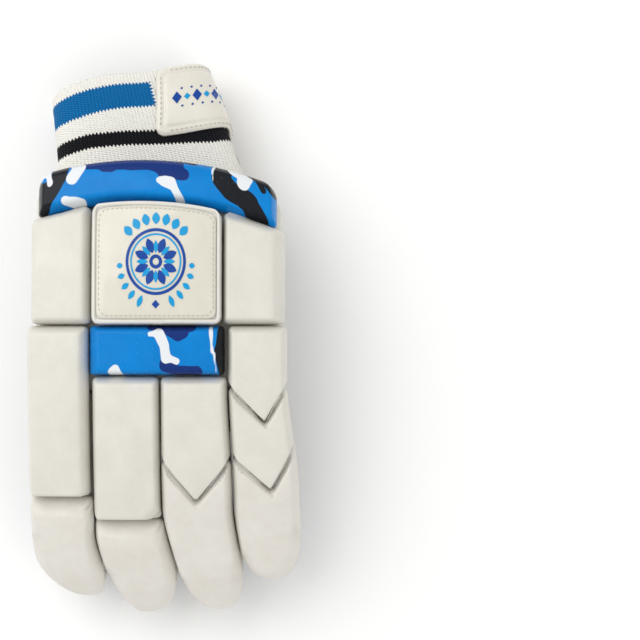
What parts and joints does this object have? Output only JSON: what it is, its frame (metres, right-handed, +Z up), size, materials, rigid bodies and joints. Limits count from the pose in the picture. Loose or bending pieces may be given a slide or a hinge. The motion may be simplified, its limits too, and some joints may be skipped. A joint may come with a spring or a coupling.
{
  "type": "cricket batting glove",
  "caption": "Left-hand cricket batting glove lying palm down: padded rolls over the back and fingers, knitted cuff with a wrist strap, leather palm.",
  "frame": {"origin": "middle of the glove's outline on the ground, under the glove", "axes": "+Z up through the back of the hand, +Y towards the cuff, fingertips towards -Y, +X towards the little finger"},
  "size_m": [0.1452, 0.2984, 0.086],
  "materials": {
    "roll_leather": "white padded leather, satin",
    "camouflage_leather": "blue, navy, black and white camouflage print, glossy",
    "badge_leather": "white leather, satin",
    "badge_sheet": "cream sheet, glossy",
    "backing_leather": "off-white padded leather",
    "palm_leather": "soft white leather",
    "gusset_knit": "blue, black and white striped knit",
    "cuff_knit": "cream ribbed knit with a blue and a black stripe",
    "thumb_mesh": "white open mesh",
    "strap_sheet": "cream sheet, glossy",
    "binding_leather": "cream binding"
  },
  "bodies": {
    "root": {"index_side_block": "roll_leather", "little_side_block": "roll_leather", "index_roll": "roll_leather", "middle_roll": "roll_leather", "ring_roll": "roll_leather", "little_upper_roll": "roll_leather", "little_lower_roll": "roll_leather", "index_tip_pad": "roll_leather", "middle_tip_pad": "roll_leather", "ring_tip_pad": "roll_leather", "little_tip_pad": "roll_leather", "thumb_tip_pad": "roll_leather", "thumb_base_pad": "roll_leather", "wrist_band_pad": "camouflage_leather", "knuckle_roll": "camouflage_leather", "thumb_middle_pad": "camouflage_leather", "badge_panel": "badge_leather", "badge_plate": "badge_sheet", "hand_backing": "backing_leather", "index_backing": "backing_leather", "middle_backing": "backing_leather", "ring_backing": "backing_leather", "little_backing": "backing_leather", "thumb_backing": "backing_leather", "palm_leather": "palm_leather", "palm_patch": "palm_leather", "index_tip_patch": "palm_leather", "middle_tip_patch": "palm_leather", "ring_tip_patch": "palm_leather", "little_tip_patch": "palm_leather", "thumb_leather": "palm_leather", "index_gusset": "gusset_knit", "middle_gusset": "gusset_knit", "ring_gusset": "gusset_knit", "little_gusset": "gusset_knit", "cuff": "cuff_knit", "thumb_mesh": "thumb_mesh", "wrist_strap": "strap_sheet", "vent_binding": "binding_leather"}
  },
  "joints": []
}
